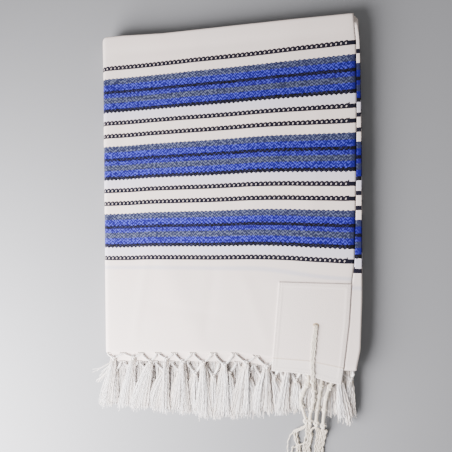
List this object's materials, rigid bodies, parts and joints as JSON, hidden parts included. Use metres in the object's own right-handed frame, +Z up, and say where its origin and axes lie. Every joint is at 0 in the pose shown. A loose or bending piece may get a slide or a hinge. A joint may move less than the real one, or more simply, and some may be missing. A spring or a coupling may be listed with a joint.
{
  "type": "folded tallit prayer shawl",
  "caption": "Wool prayer shawl folded flat, with woven stripes, knotted fringe, a corner patch with an eyelet, and wound corner tassels with loose strings.",
  "frame": {"origin": "middle of the common box, on the surface that the folded shawl lies on", "axes": "+X towards the selvedge side with the corner patch, +Y from the fringe to the top fold, +Z up"},
  "size_m": [0.3514, 0.6196, 0.0238],
  "materials": {
    "striped_wool": "off-white wool twill, matt, with blue, slate and black woven stripes",
    "patch_wool": "off-white wool twill, matt, with a stitched hem",
    "fringe_wool": "loose white wool threads, soft and matt",
    "tassel_wool": "ivory twisted wool strings, matt"
  },
  "bodies": {
    "root": {"top_layer": "striped_wool", "second_layer": "striped_wool", "folded_layers": "striped_wool", "under_layer": "striped_wool", "corner_patch": "patch_wool", "front_fringe": "fringe_wool", "corner_fringe": "fringe_wool", "second_fringe": "fringe_wool", "lower_fringe": "fringe_wool", "corner_tassel_1": "tassel_wool", "corner_tassel_2": "tassel_wool", "corner_tassel_3": "tassel_wool", "corner_tassel_4": "tassel_wool"}
  },
  "joints": []
}
